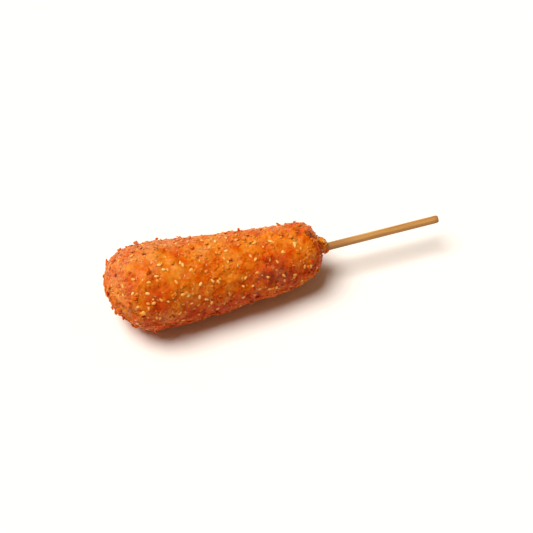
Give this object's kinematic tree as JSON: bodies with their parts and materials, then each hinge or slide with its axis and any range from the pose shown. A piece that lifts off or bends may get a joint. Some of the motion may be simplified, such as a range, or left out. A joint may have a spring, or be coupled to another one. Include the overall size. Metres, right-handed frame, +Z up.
{
  "type": "corn dog",
  "caption": "Deep-fried corn dog lying on its side: a fat, blunt, crumb-coated body that narrows to a round bamboo stick, with sesame seeds and herb flakes fused to its crust.",
  "frame": {"origin": "on the surface that the food lies on, under the middle of the whole piece's box", "axes": "+X from the blunt end of the food to the free end of the stick, +Z up, +Y to the left when looking along +X"},
  "size_m": [0.2024, 0.0527, 0.0507],
  "materials": {
    "crust": "browned, oily, finely crumbed batter in golden orange to red-brown, with cream sesame seeds and dark herb flakes",
    "stick": "plain bamboo with fine lengthwise grain, a little darker with oil next to the food"
  },
  "bodies": {
    "root": {"crust": "crust", "stick": "stick"}
  },
  "joints": []
}
